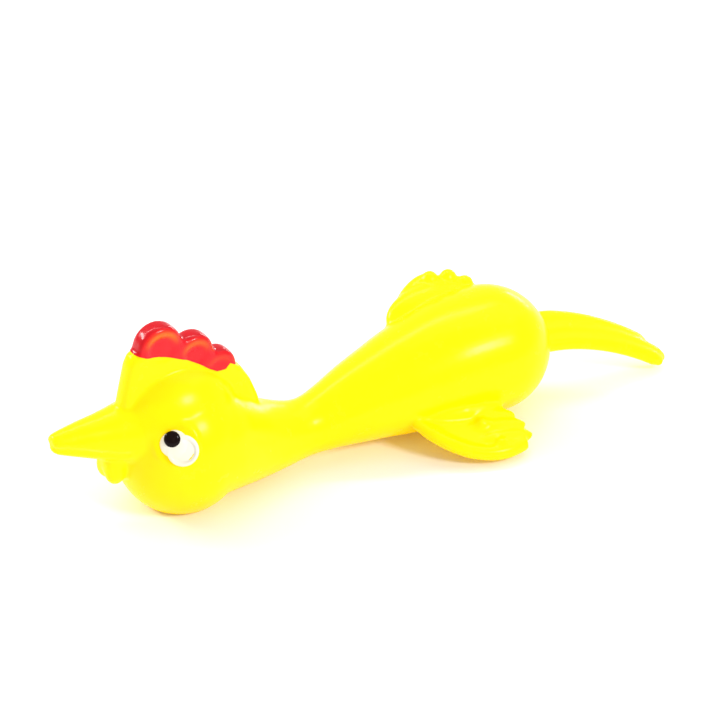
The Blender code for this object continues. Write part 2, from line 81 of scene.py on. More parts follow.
# %% [markdown]
# ## Places
#
# The joints say where the toy bends, and the boxes of the nodes say how big each region is. The
# toy's own coordinates are handier than the frame's: millimetres back from the middle of the head,
# to its right side, and up from the table. `at` turns them into a place in the frame.

# %% Places read from the frame
MM = 0.001
JOINTS = {joint["name"]: joint for joint in frame["record"]["behaviour"]["joints"]}
HEAD = Vector(JOINTS["head_nod"]["pos_m"])
head_low, head_high = map(Vector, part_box("head"))
torso_low, torso_high = map(Vector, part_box("torso"))
HEAD_RADIUS = (head_high.x - head_low.x) / 2
HEAD_TALL = head_high.z - HEAD.z
RUMP_RADIUS = (torso_high.z - torso_low.z) / 2
RUMP = Vector((torso_high.x - RUMP_RADIUS, HEAD.y, torso_low.z + RUMP_RADIUS))
NECK_LENGTH = RUMP.x - HEAD.x


def at(back, right, up):
    """A place given in millimetres from the middle of the head, and up from the table."""
    return Vector((HEAD.x + back * MM, HEAD.y + right * MM, up * MM))


print("head ball radius %.1f mm, rump radius %.1f mm" % (HEAD_RADIUS / MM, RUMP_RADIUS / MM))

# %% [markdown]
# The body lies rolled towards its left wing. A second set of axes follows that roll, so that a wing
# can be modelled as if the chicken sat upright: back, out to one side, and over the back.

# %% Axes of the rolled body
BACK = Vector((1.0, 0.0, 0.0))


def wing_frame(side):
    """Directions out along a wing and over it. Its flap line leans out as it follows the flank."""
    name = "left_wing_flap" if side < 0 else "right_wing_flap"
    line = Vector(JOINTS[name]["axis"])
    roll = abs(math.atan2(line.z, line.y))
    roll = min(roll, math.pi - roll)
    out = Vector((0.0, side * math.cos(roll), side * math.sin(roll)))
    over = Vector((0.0, -math.sin(roll), math.cos(roll)))
    return out, over


WING_FRAMES = {side: wing_frame(side) for side in (-1, 1)}


def on_body(back, out, over, side):
    """A place in millimetres on the rolled body; side is -1 for the left and 1 for the right."""
    middle = Vector((HEAD.x, RUMP.y, RUMP.z))
    outwards, upwards = WING_FRAMES[side]
    return middle + (BACK * back + outwards * out + upwards * over) * MM


for side, (out, over) in WING_FRAMES.items():
    print("wing %+d leans %.1f degrees" % (side, math.degrees(math.atan2(-over.y, over.z))))

# %% [markdown]
# ## Helpers for modelling with operators
#
# An operator works on whatever is selected, so every step starts with nothing selected. `pebble`
# is a sphere stretched and turned into place. `turned` makes a body from rings, as on a lathe: a
# disc is extruded from one station to the next and resized there.

# %% Helpers
def select_only(*things):
    if bpy.context.mode != "OBJECT":
        bpy.ops.object.mode_set(mode="OBJECT")
    bpy.ops.object.select_all(action="DESELECT")
    for thing in things:
        thing.select_set(True)
    if things:
        bpy.context.view_layer.objects.active = things[0]


def named(name):
    """Name the object that an operator has just made."""
    thing = bpy.context.object
    thing.name = name
    return thing


def copied(thing, name):
    select_only(thing)
    bpy.ops.object.duplicate()
    return named(name)


def settle(thing):
    """Put the object's place into its mesh, so that the object itself sits at the origin."""
    select_only(thing)
    bpy.ops.object.transform_apply(location=True, rotation=True, scale=True)
    return thing


def face_outward():
    """Turn the faces of the active mesh outward and go back to object mode."""
    if bpy.context.mode != "EDIT_MESH":
        bpy.ops.object.mode_set(mode="EDIT")
    bpy.ops.mesh.select_all(action="SELECT")
    bpy.ops.mesh.normals_make_consistent(inside=False)
    bpy.ops.object.mode_set(mode="OBJECT")


def pebble(name, centre, half_axes, turn=None, segments=32, rings=20):
    """A stretched sphere. turn holds the directions of its three axes as columns."""
    select_only()
    bpy.ops.mesh.primitive_uv_sphere_add(segments=segments, ring_count=rings, radius=1.0)
    thing = named(name)
    size = Matrix.Diagonal((*[axis * MM for axis in half_axes], 1.0))
    thing.matrix_world = Matrix.Translation(centre) @ (turn or Matrix()).to_4x4() @ size
    settle(thing)
    face_outward()
    return thing


def turned(name, stations, sides=40):
    """Rings along X joined into one closed body; a station is (centre, half width, half height)."""
    select_only()
    centre, wide, tall = stations[0]
    bpy.ops.mesh.primitive_circle_add(vertices=sides, radius=1.0, fill_type="NGON",
                                      location=centre, rotation=(0.0, math.pi / 2, 0.0))
    thing = settle(bpy.context.object)
    thing.name = name
    bpy.ops.object.mode_set(mode="EDIT")
    bpy.ops.mesh.select_all(action="SELECT")
    bpy.ops.transform.resize(value=(1.0, wide, tall), center_override=centre)
    for next_centre, next_wide, next_tall in stations[1:]:
        step = Vector(next_centre) - Vector(centre)
        bpy.ops.mesh.extrude_region_move(TRANSFORM_OT_translate={"value": step})
        bpy.ops.transform.resize(value=(1.0, next_wide / wide, next_tall / tall),
                                 center_override=next_centre)
        centre, wide, tall = next_centre, next_wide, next_tall
    face_outward()
    return thing


def rope(name, places, widths, flatten=1.0, over=None):
    """A tapering rod along a smooth line; flatten squeezes it along the direction over."""
    select_only()
    bpy.ops.curve.primitive_nurbs_path_add()
    thing = named(name)
    thing.matrix_world = Matrix()
    curve = thing.data
    curve.splines.clear()
    spline = curve.splines.new("BEZIER")
    spline.bezier_points.add(len(places) - 1)
    for knot, place, width in zip(spline.bezier_points, places, widths):
        knot.co = place
        knot.radius = width
        knot.handle_left_type = "AUTO"
        knot.handle_right_type = "AUTO"
    curve.bevel_depth = MM
    curve.bevel_resolution = 6
    curve.resolution_u = 10
    curve.use_fill_caps = True
    select_only(thing)
    bpy.ops.object.convert(target="MESH")
    thing = bpy.context.object
    if over is not None:
        squeeze_along(thing, places, over, flatten)
    return thing


def read_all(items, what, kind=float, width=1):
    """One value, or a row of width values, for every item of a mesh."""
    values = np.empty(len(items) * width, dtype=kind)
    items.foreach_get(what, values)
    return values.reshape(-1, width) if width > 1 else values


def read_points(thing):
    return read_all(thing.data.vertices, "co", width=3)


def read_normals(thing):
    return read_all(thing.data.vertex_normals, "vector", width=3)


def nearest_on_line(points, line):
    """The nearest place of a line through several places to each point, and how far it is."""
    line = np.array([list(place) for place in line])
    best, gaps = np.zeros_like(points), np.full(len(points), 1e9)
    for start, end in zip(line, line[1:]):
        run = end - start
        share = np.clip((points - start) @ run / (run @ run), 0.0, 1.0)
        places = start + run * share[:, None]
        gap = np.linalg.norm(points - places, axis=1)
        best[gap < gaps] = places[gap < gaps]
        gaps = np.minimum(gap, gaps)
    return best, gaps


def squeeze_along(thing, line, over, flatten):
    """Flatten a rod about its own line, so that it becomes a feather or a blade."""
    points = read_points(thing)
    direction = np.array(over.normalized())
    height = (points - nearest_on_line(points, line)[0]) @ direction
    points -= direction * height[:, None] * (1.0 - flatten)
    thing.data.vertices.foreach_set("co", points.ravel())


def flowing(stations, x):
    """A smooth curve through (x, value) stations, level at its last one."""
    places = [place for place, _ in stations]
    values = [value for _, value in stations]
    slopes = [(values[min(i + 1, len(values) - 1)] - values[max(i - 1, 0)])
              / (places[min(i + 1, len(places) - 1)] - places[max(i - 1, 0)])
              for i in range(len(places))]
    slopes[-1] = 0.0
    x = min(max(x, places[0]), places[-1])
    for i in range(len(places) - 1):
        if x <= places[i + 1]:
            break
    run = places[i + 1] - places[i]
    t = (x - places[i]) / run
    return ((2 * t**3 - 3 * t**2 + 1) * values[i] + (t**3 - 2 * t**2 + t) * run * slopes[i]
            + (3 * t**2 - 2 * t**3) * values[i + 1] + (t**3 - t**2) * run * slopes[i + 1])


def finish_with(thing, kind, **settings):
    """Add one modifier and apply it at once."""
    select_only(thing)
    modifier = thing.modifiers.new(kind.lower(), kind)
    for key, value in settings.items():
        setattr(modifier, key, value)
    bpy.ops.object.modifier_apply(modifier=modifier.name)
    return thing


def slab(name, outline, step, rounding, segments):
    """A flat outline extruded by one step, with its edges bevelled round."""
    select_only()
    bpy.ops.mesh.primitive_circle_add(vertices=len(outline), radius=1.0, fill_type="NGON")
    thing = named(name)
    for vertex, place in zip(thing.data.vertices, outline):
        vertex.co = place
    bpy.ops.object.mode_set(mode="EDIT")
    bpy.ops.mesh.select_all(action="SELECT")
    bpy.ops.mesh.extrude_region_move(TRANSFORM_OT_translate={"value": step})
    face_outward()
    return finish_with(thing, "BEVEL", width=rounding, segments=segments, limit_method="ANGLE",
                       angle_limit=math.radians(60))


def plate(name, outline, thickness, rounding):
    """A slab that stands in the toy's middle plane, as thick to the left as to the right."""
    left = Vector((0.0, thickness / 2, 0.0))
    return slab(name, [place - left for place in outline], left * 2, rounding, 4)


def cut_with(thing, operation, cutter):
    """Cut one closed body with another, and throw the cutter away."""
    finish_with(thing, "BOOLEAN", operation=operation, solver="EXACT", object=cutter)
    bpy.data.objects.remove(cutter, do_unlink=True)


def joined(name, things):
    select_only(*things)
    bpy.ops.object.join()
    thing = named(name)
    return thing

# %% [markdown]
# ## Neck and body
#
# A real neck swells smoothly from its thin waist into the pear-shaped body. Guiding a lathe body
# with a few stations and a smooth curve between them gives that line; more stations would only add
# bumps. The rump ends in a half ball.

# %% Neck and body
# Each line holds (millimetres back from the head's middle, value there).
RADIUS_LINE = ((0.5, 11.2), (4.0, 10.75), (8.0, 9.75), (12.0, 8.2), (17.0, 6.45), (23.7, 5.0),
               (28.5, 5.75), (33.2, 6.95), (38.0, 8.05), (42.4, 9.1), (51.0, 10.55),
               (59.7, RUMP_RADIUS / MM))
HEIGHT_LINE = ((0.5, 10.6), (4.0, 10.55), (8.0, 9.8), (12.0, 8.25), (17.0, 6.75), (23.7, 6.2),
               (33.2, 8.1), (42.4, 9.6), (51.0, 10.7), (59.7, RUMP_RADIUS / MM))
BODY_START = 0.5
NECK_RINGS, RUMP_RINGS = 34, 13


def body_station(back):
    if back <= NECK_LENGTH / MM:
        radius = flowing(RADIUS_LINE, back)
        height = flowing(HEIGHT_LINE, back)
    else:
        past = back * MM - NECK_LENGTH
        radius = math.sqrt(max(RUMP_RADIUS**2 - past**2, 1e-9)) / MM
        height = RUMP_RADIUS / MM
    return at(back, 0.0, height), radius * MM, radius * MM


straight = list(np.linspace(BODY_START, NECK_LENGTH / MM, NECK_RINGS))
around = [NECK_LENGTH / MM + RUMP_RADIUS / MM * math.sin(math.pi / 2 * i / RUMP_RINGS)
          for i in range(1, RUMP_RINGS)]
body = turned("body_clay", [body_station(back) for back in straight + around], sides=56)
print("body clay is %.1f mm long" % (body.dimensions.x / MM))

# %% [markdown]
# ## Head, beak and wattle
#
# The head is a ball a little taller than it is wide. The beak is a blunt cone that grows out of it
# in a fillet, and the wattle is a small soft lobe under the beak's root. A moulded ring runs round
# each eye.

# %% Head and face
head = pebble("head_clay", HEAD, (HEAD_RADIUS / MM, HEAD_RADIUS / MM, HEAD_TALL / MM), segments=64,
              rings=48)
CROWN_PLACE = at(-1.0, 0.0, 14.6)
CROWN_HALF_AXES = (11.3, 8.4, 11.3)
crown = pebble("crown_clay", CROWN_PLACE, CROWN_HALF_AXES, segments=64, rings=48)
beak_low, beak_high = map(Vector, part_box("beak"))
BEAK_TIP = (beak_low.x - HEAD.x) / MM
BEAK_SLIMNESS = 0.96
# Each ring is (back, height above the table, half height), from the head to the tip.
BEAK_RINGS = ((-7.0, 15.6, 6.0), (-10.0, 15.7, 5.55), (-12.5, 15.9, 4.85), (-15.0, 16.2, 4.15),
              (-18.5, 16.7, 3.3), (-21.5, 17.1, 2.5), (-23.4, 17.35, 1.95), (-24.2, 17.45, 1.6),
              (BEAK_TIP + 0.85, 17.5, 1.05))
beak = turned("beak_clay", [(at(back, 0.0, up), BEAK_SLIMNESS * radius * MM, radius * MM)
                            for back, up, radius in BEAK_RINGS], sides=36)
WATTLE_ROOT = (3.0, 2.6, 3.2)
WATTLE_LOBE = (2.1, 1.6, 2.9)
WATTLE_SPREAD = 1.3
wattle_parts = [pebble("wattle_root_clay", at(-12.0, 0.0, 11.0), WATTLE_ROOT)]
for side in (-1, 1):
    wattle_parts.append(pebble("wattle_clay", at(-12.95, side * WATTLE_SPREAD, 9.9), WATTLE_LOBE))


def face_point(forward, above, side):
    """A place on the ball of the head and the direction that it faces."""
    x, z = -forward * MM, above * MM
    y = side * HEAD_RADIUS * math.sqrt(1 - (x / HEAD_RADIUS)**2 - (z / HEAD_TALL)**2)
    facing = Vector((x / HEAD_RADIUS**2, y / HEAD_RADIUS**2, z / HEAD_TALL**2)).normalized()
    return HEAD + Vector((x, y, z)), facing


def facing_turn(facing):
    """Columns: towards the tail along the skin, up along the skin, and out of it."""
    up = (Vector((0, 0, 1)) - facing * facing.z).normalized()
    back = up.cross(facing).normalized()
    if back.x < 0:
        back = -back
    return Matrix((back, up, facing)).transposed()


def ring_on(place, facing, radius, thickness, segments):
    """A ring that lies flat on the face; segments counts (round the ring, round its rod)."""
    select_only()
    bpy.ops.mesh.primitive_torus_add(major_segments=segments[0], minor_segments=segments[1],
                                     major_radius=radius * MM, minor_radius=thickness / 2 * MM)
    ring = bpy.context.object
    ring.matrix_world = Matrix.Translation(place) @ facing_turn(facing).to_4x4()
    return settle(ring)


EYE_FORWARD, EYE_ABOVE = 5.67, 6.5
EYE_RING_RADIUS, EYE_RING_DEPTH = 3.55, 0.62
eye_rings = []
for side in (-1, 1):
    place, facing = face_point(EYE_FORWARD - 0.3, EYE_ABOVE - 0.8, side)
    eye_rings.append(ring_on(place - facing * EYE_RING_DEPTH * MM, facing, EYE_RING_RADIUS, 1.0,
                             (48, 12)))
print("beak reaches %.1f mm in front of the head's middle" % -BEAK_TIP)

# %% [markdown]
# ## Comb
#
# The comb is a thick fin on the crown with three lobes that shrink towards the back. Its lower part
# is a saddle that hugs the ball down to the nape. A fin is easiest as a flat outline that is
# extruded to its thickness and bevelled.

# %% Comb
hinge = Vector(JOINTS["comb_flop"]["pos_m"])
comb_back = Vector(JOINTS["comb_flop"]["axis"]).normalized()
if comb_back.x < 0:
    comb_back = -comb_back
comb_up = Vector((-comb_back.z, 0.0, comb_back.x))
COMB_LOBES = ((-5.25, 3.3, 4.05), (1.75, 2.3, 3.6), (7.2, -0.2, 3.4))


def lobed_top(step_count):
    """The lobes' outline from front to back: at each place the highest circle counts."""
    first, last = COMB_LOBES[0], COMB_LOBES[-1]
    start, end = first[0] - first[2], last[0] + last[2]
    points = []
    for i in range(step_count + 1):
        along = start + (end - start) * (1 - math.cos(math.pi * i / step_count)) / 2
        tops = [up + math.sqrt(max(radius**2 - (along - middle)**2, 0.0))
                for middle, up, radius in COMB_LOBES if abs(along - middle) <= radius]
        points.append((along, max(tops) if tops else 0.0))
    return points


COMB_THICK = 3.6 * MM
CREST_ROUNDING = 1.5 * MM
SADDLE_ROUNDING = 1.3 * MM
crest_line = [hinge + comb_back * along * MM + comb_up * up * MM for along, up in lobed_top(40)]
crest_line += [hinge + comb_back * 9.6 * MM - comb_up * 4.5 * MM,
               hinge - comb_back * 9.4 * MM - comb_up * 7.0 * MM]
crest = plate("crest_clay", crest_line, COMB_THICK, CREST_ROUNDING)

saddle_line = [at(back, 0.0, up) for back, up in (
    (-9.0, 16.5), (-11.8, 21.0), (-11.2, 24.0), (-10.2, 28.6), (-9.4, 30.2), (-8.0, 30.8),
    (-3.0, 29.6), (3.0, 27.0), (8.0, 24.6), (11.4, 22.6), (13.3, 19.5), (14.6, 16.2), (15.4, 13.4),
    (14.0, 10.0), (7.0, 14.0))]
saddle = plate("saddle_clay", saddle_line, COMB_THICK, SADDLE_ROUNDING)
print("comb rises %.1f mm over the table" % (max(p.z for p in crest_line) / MM))

# %% [markdown]
# ## Wings
#
# Each wing is a thin leaf with a thick leading rim, and flight feathers that end in round tips at
# its trailing edge, with small round knobs on them. Feathers are long pebbles laid side by side:
# once melted together they leave the soft grooves of the real moulding. The left wing lies flat by
# the table, and the right one stands up over the back as a short fan.

# %% Wings
def rolled_turn(side, sweep):
    """Axes of a feather: along it, across it and over it, swept back from straight out."""
    outwards, upwards = WING_FRAMES[side]
    along = BACK * math.sin(sweep) + outwards * math.cos(sweep)
    return Matrix((along, upwards.cross(along), upwards)).transposed()


def leaf(name, side, outline, thickness, drop):
    """A slab in the wing's own plane."""
    places = [on_body(back, out, -drop - thickness / 2, side) for back, out in outline]
    return slab(name, places, WING_FRAMES[side][1] * thickness * MM, 0.4 * MM, 3)


def feather(name, side, root, tip, width, drop, thick):
    """One flight feather from its root to its round tip; both are (back, out)."""
    middle = on_body((root[0] + tip[0]) / 2, (root[1] + tip[1]) / 2, -drop, side)
    run = Vector((tip[0] - root[0], tip[1] - root[1]))
    sweep = math.atan2(run.x, run.y)
    return pebble(name, middle, (run.length / 2, width, thick), rolled_turn(side, sweep))


WING_DROP = 1.0
# The outlines, rims, feathers and knobs below are places in the wing's plane, as (back, out).
LEFT_RIM = ((41.0, 9.4), (42.8, 12.8), (45.6, 16.4), (49.2, 19.0), (53.2, 19.9), (57.4, 19.4))
left_parts = [
    leaf("left_leaf", -1, [(40.8, 7.0), (42.4, 12.9), (45.4, 16.9), (49.2, 19.4), (53.6, 20.1),
                           (57.0, 19.2), (57.0, 15.0), (56.6, 8.0)], 1.5, WING_DROP + 0.25),
    rope("left_rim", [on_body(back, out, -WING_DROP - 0.1, -1) for back, out in LEFT_RIM],
         [1.0, 1.25, 1.3, 1.3, 1.45, 1.35]),
    pebble("left_root", on_body(49.5, 8.8, -1.0, -1), (8.6, 3.4, 2.2), rolled_turn(-1, math.radians(80))),
]
LEFT_FEATHERS = (((49.4, 16.6), (59.5, 18.4), 1.75), ((48.4, 13.4), (59.4, 16.1), 1.7),
                 ((48.8, 10.6), (58.5, 13.9), 1.65))
for number, (root, tip, width) in enumerate(LEFT_FEATHERS):
    left_parts.append(feather("left_feather_%d" % number, -1, root, tip, width, WING_DROP, 1.2))
LEFT_KNOBS = ((53.0, 18.7), (51.6, 13.9), (49.9, 10.9))
LEFT_KNOB_SIZE, LEFT_KNOB_RISE = (1.15, 0.95, 0.8), 0.95
for number, (back, out) in enumerate(LEFT_KNOBS):
    left_parts.append(pebble("left_knob_%d" % number, on_body(back, out, LEFT_KNOB_RISE - WING_DROP, -1),
                             LEFT_KNOB_SIZE, rolled_turn(-1, math.radians(65))))

RIGHT_RIM = ((46.4, 9.2), (48.0, 10.9), (50.4, 12.9), (53.0, 14.1), (54.8, 14.4))
right_parts = [
    leaf("right_leaf", 1, [(45.8, 7.0), (48.2, 11.4), (51.2, 13.7), (54.2, 14.6), (58.2, 14.0),
                           (61.0, 11.6), (60.4, 8.0)], 2.0, WING_DROP),
    rope("right_rim", [on_body(back, out, -WING_DROP, 1) for back, out in RIGHT_RIM],
         [1.5, 1.5, 1.5, 1.45, 1.3]),
    pebble("right_root", on_body(52.4, 9.4, 0.0, 1), (8.6, 4.4, 2.9), rolled_turn(1, math.radians(85))),
]
RIGHT_FAN = (((51.8, 8.4), (54.8, 15.2)), ((54.4, 8.0), (58.3, 14.6)), ((56.6, 7.6), (60.9, 12.5)))
# Two knobs on each feather of the fan, as (share of its length, half width).
RIGHT_KNOBS, RIGHT_KNOB_RISE = ((0.84, 1.55), (0.48, 1.4)), 1.3
for number, (root, tip) in enumerate(RIGHT_FAN):
    right_parts.append(feather("right_feather_%d" % number, 1, root, tip, 1.75, WING_DROP - 0.2, 1.6))
    run = Vector((tip[0] - root[0], tip[1] - root[1]))
    for share, size in RIGHT_KNOBS:
        place = on_body(root[0] + run.x * share, root[1] + run.y * share,
                        RIGHT_KNOB_RISE - WING_DROP, 1)
        right_parts.append(pebble("right_knob_%d" % number, place, (size, size * 0.95, size)))
wings = left_parts + right_parts
print(len(left_parts), "bodies in the left wing,", len(right_parts), "in the right")

# %% [markdown]
# ## Tail
#
# Three long ridged feathers lie side by side in one drooping blade. The outer right one is shorter,
# which leaves a step. The blade arches out of the rump and its tip touches the table.

# %% Tail
TAIL_ROOT = Vector(JOINTS["tail_lift"]["pos_m"])
TAIL_BEND = Vector(JOINTS["tail_tip_bend"]["pos_m"])
tip_low, tip_high = map(Vector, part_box("tail_tip"))
TAIL_END = Vector((tip_high.x + 1.0 * MM, tip_low.y + 1.1 * MM, tip_low.z + 0.2 * MM))


TAIL_KNOTS = (TAIL_ROOT - BACK * 4.0 * MM, TAIL_ROOT, TAIL_BEND, TAIL_END)
TAIL_SHARES = (-0.42, 0.0, 0.5, 1.0)
TAIL_ROLL, TAIL_UNROLL = math.radians(36.0), 0.45


def tail_line(share):
    """The cubic through a place inside the rump, the tail's root, its bend and its end."""
    place = Vector()
    for knot, own in zip(TAIL_KNOTS, TAIL_SHARES):
        factor = 1.0
        for other in TAIL_SHARES:
            if other != own:
                factor *= (share - other) / (own - other)
        place += knot * factor
    return place


def tail_across(share):
    """Direction across the blade, towards its right edge; it is rolled at the root."""
    roll = TAIL_ROLL * (1 - TAIL_UNROLL * max(share, 0.0))
    along = (tail_line(share + 0.01) - tail_line(share - 0.01)).normalized()
    across_blade = Vector((0.0, math.cos(roll), math.sin(roll)))
    return (across_blade - along * across_blade.dot(along)).normalized()


# Each feather is (offset across the blade, share of its length, radius at the root).
TAIL_FEATHERS = ((-2.15, 0.98, 1.75), (0.0, 1.0, 1.85), (2.15, 0.86, 1.75))
FEATHER_SHARES = (-0.2, 0.0, 0.2, 0.4, 0.6, 0.8, 0.93, 1.0)
FEATHER_FLATNESS = 0.8
tail_parts = []
for number, (offset, reach, width) in enumerate(TAIL_FEATHERS):
    places, widths = [], []
    for share in FEATHER_SHARES:
        share_here = share * reach if share > 0 else share
        narrowing = 1 - 0.3 * max(share, 0.0)**1.6
        places.append(tail_line(share_here) + tail_across(share_here) * offset * narrowing * MM)
        widths.append(width * (1 - 0.2 * max(share, 0.0)) * (0.6 if share == 1.0 else 1.0))
    over = (tail_line(0.6) - tail_line(0.4)).cross(tail_across(0.5)).normalized()
    tail_parts.append(rope("tail_feather_%d" % number, places, widths, FEATHER_FLATNESS, over))
print("tail ends at", [round(v / MM, 1) for v in TAIL_END])

# %% [markdown]
# ## One clay
#
# Joining the bodies and remeshing them with small voxels melts them into one skin, and a few rounds
# of smoothing turn every crease into a small fillet, as in a real mould. The finger pocket is then
# cut out with a cylinder and a ball, and a block cuts off whatever sinks below the table.

# %% Melt the bodies together
VOXEL = 0.30 * MM
clay = joined("moulding", [body, head, crown, beak, crest, saddle] + wattle_parts + eye_rings
              + wings + tail_parts)
finish_with(clay, "REMESH", mode="VOXEL", voxel_size=VOXEL)
finish_with(clay, "SMOOTH", factor=0.5, iterations=5)

POCKET_RADIUS = 5.1 * MM
POCKET_DEPTH = 15.0 * MM
BLOCK_SIZE = (0.3, 0.3, 10 * MM)
select_only()
bpy.ops.mesh.primitive_cylinder_add(vertices=96, radius=POCKET_RADIUS, depth=POCKET_DEPTH)
finger = bpy.context.object
finger.location = (HEAD.x, HEAD.y, (POCKET_DEPTH - POCKET_RADIUS) / 2 - 1 * MM)
settle(finger)
finger_end = pebble("finger_end", Vector((HEAD.x, HEAD.y, POCKET_DEPTH - POCKET_RADIUS)),
                    (POCKET_RADIUS / MM,) * 3, segments=96, rings=48)
select_only()
bpy.ops.mesh.primitive_cube_add(size=1.0, location=(0.0, 0.0, -BLOCK_SIZE[2] / 2))
table_block = bpy.context.object
table_block.scale = BLOCK_SIZE
settle(table_block)
for cutter in (finger, finger_end, table_block):
    cut_with(clay, "DIFFERENCE", cutter)
print("clay has", len(clay.data.polygons), "faces")

# %% [markdown]
# The cut edges are sharp. A second remesh at the same size and a little smoothing round them off.

# %% Soften the cuts
finish_with(clay, "REMESH", mode="VOXEL", voxel_size=VOXEL)
finish_with(clay, "SMOOTH", factor=0.5, iterations=4)
print("clay has", len(clay.data.polygons), "faces after the second melt")

# %% [markdown]
# ## Pressed details
#
# Some marks are pressed into the clay: the line of the mouth, and the shallow hollow inside each
# lobe of the comb. Each is a smooth push along the skin's normal, worked out for every vertex.

# %% Press in the details
def smooth_step(low, high, values):
    share = np.clip((values - low) / (high - low), 0.0, 1.0)
    return share * share * (3 - 2 * share)


def toy_places(points):
    """Frame places as millimetres back from the head, to its right, and up."""
    return np.stack([(points[:, 0] - HEAD.x) / MM, (points[:, 1] - HEAD.y) / MM,
                     points[:, 2] / MM], axis=1)


def comb_places(places):
    """Toy places as millimetres along the comb's hinge and up from it."""
    from_hinge = places[:, [0, 2]] - np.array([(hinge.x - HEAD.x) / MM, hinge.z / MM])
    return (from_hinge @ np.array([comb_back.x, comb_back.z]),
            from_hinge @ np.array([comb_up.x, comb_up.z]))


MOUTH_DEPTH, MOUTH_WIDTH = 0.34, 0.6
LIP_HEIGHT, LIP_GAP, LIP_WIDTH = 0.08, 1.1, 0.5
DISH_DEPTH, COMB_HALF_SPACE = 0.34, 3.0
# The mouth's line from the tip back to its corner, as (back, height above the table).
MOUTH = ((-25.5, 17.0), (-22.5, 16.7), (-19.5, 15.9), (-16.0, 14.7), (-13.4, 13.9), (-12.2, 13.9))
skin = read_points(clay)
outward = read_normals(clay)
places = toy_places(skin)
push = np.zeros(len(skin))

mouth_gap = nearest_on_line(places[:, [0, 2]], MOUTH)[1]
on_beak = smooth_step(-10.6, -12.4, places[:, 0]) * smooth_step(0.3, 1.0, np.abs(places[:, 1]))
push -= MOUTH_DEPTH * np.exp(-(mouth_gap / MOUTH_WIDTH)**2) * on_beak
push += LIP_HEIGHT * np.exp(-((mouth_gap - LIP_GAP) / LIP_WIDTH)**2) * on_beak

along_comb, up_comb = comb_places(places)
inside = np.full(len(skin), -9.0)
for middle, up, radius in COMB_LOBES:
    inside = np.maximum(inside, radius - np.hypot(along_comb - middle, up_comb - up))
flat_side = smooth_step(0.6, 0.9, np.abs(outward[:, 1]))
above = smooth_step(-1.0, 2.0, up_comb) * (np.abs(places[:, 1]) < COMB_HALF_SPACE)
push -= DISH_DEPTH * smooth_step(0.9, 2.2, inside) * flat_side * above

clay.data.vertices.foreach_set("co", (skin + outward * push[:, None] * MM).ravel())
clay.data.update()
finish_with(clay, "SMOOTH", factor=0.4, iterations=1)
print("deepest press %.2f mm" % -push.min())

# %% [markdown]
# ## Cutting the clay into pieces
#
# The toy bends in its neck, comb, wings and tail, so each of those stretches becomes a piece of its
# own. Every cut is a plane through a place that does not bend. Both halves are closed with a cap,
# and the skin keeps the normals that it had as one body, so that the cuts don't show.

# %% Cut and close
def remember_skin(thing):
    kept = thing.data.attributes.new("skin_normal", "FLOAT_VECTOR", "POINT")
    kept.data.foreach_set("vector", read_normals(thing).ravel())
    mark = thing.data.attributes.new("skin", "INT", "FACE")
    mark.data.foreach_set("value", np.ones(len(thing.data.polygons), dtype=np.int32))


def halve(thing, place, normal, name):
    """Cut off what lies beyond the plane as a new closed piece; the rest stays closed too."""
    beyond = copied(thing, name)
    for half, side in ((beyond, "inner"), (thing, "outer")):
        select_only(half)
        bpy.ops.object.mode_set(mode="EDIT")
        bpy.ops.mesh.select_all(action="SELECT")
        bpy.ops.mesh.bisect(plane_co=place, plane_no=normal, clear_inner=side == "inner",
                            clear_outer=side == "outer", threshold=1e-7)
        bpy.ops.mesh.select_all(action="SELECT")
        bpy.ops.mesh.remove_doubles(threshold=1e-6)
        bpy.ops.mesh.select_all(action="DESELECT")
        bpy.ops.mesh.select_mode(type="EDGE")
        bpy.ops.mesh.select_non_manifold()
        bpy.ops.mesh.fill_holes(sides=0)
        bpy.ops.mesh.select_mode(type="VERT")
        bpy.ops.object.mode_set(mode="OBJECT")
    return beyond


def dress(thing):
    """Give the skin the normals of the whole body, and the caps their own."""
    mesh = thing.data
    kept = read_all(mesh.attributes["skin_normal"].data, "vector", width=3)
    kept /= np.maximum(np.linalg.norm(kept, axis=1), 1e-9)[:, None]
    is_skin = read_all(mesh.attributes["skin"].data, "value", np.int32)
    corners = read_all(mesh.loops, "vertex_index", np.int32)
    edges = read_all(mesh.loops, "edge_index", np.int32)
    counts = read_all(mesh.polygons, "loop_total", np.int32)
    face_of_corner = np.repeat(np.arange(len(counts)), counts)
    cap_corner = is_skin[face_of_corner] == 0
    face_normals = read_all(mesh.polygons, "normal", width=3)
    normals = kept[corners]
    normals[cap_corner] = face_normals[face_of_corner][cap_corner]
    sharp = np.zeros(len(mesh.edges), dtype=bool)
    sharp[edges[cap_corner]] = True
    mesh.edges.foreach_set("use_edge_sharp", sharp)
    mesh.polygons.foreach_set("use_smooth", np.ones(len(mesh.polygons), dtype=bool))
    mesh.normals_split_custom_set([tuple(n) for n in normals])
    mesh.update()
    return int(cap_corner.sum())


NOD_CUT, TWIST_FRONT, TWIST_BACK, STRETCH_BACK = 10.0, 21.6, 26.6, 40.4
NOD_DIRECTION = Vector((0.979, 0.0, -0.206)).normalized()
NOD_PLACE = at(NOD_CUT, 0.0, 20.0)
TAIL_CUT, TAIL_SPLIT = 70.0, 78.0
BEAK_CUT, WATTLE_CUT, COMB_CUT = -10.6, 11.5, 2.0

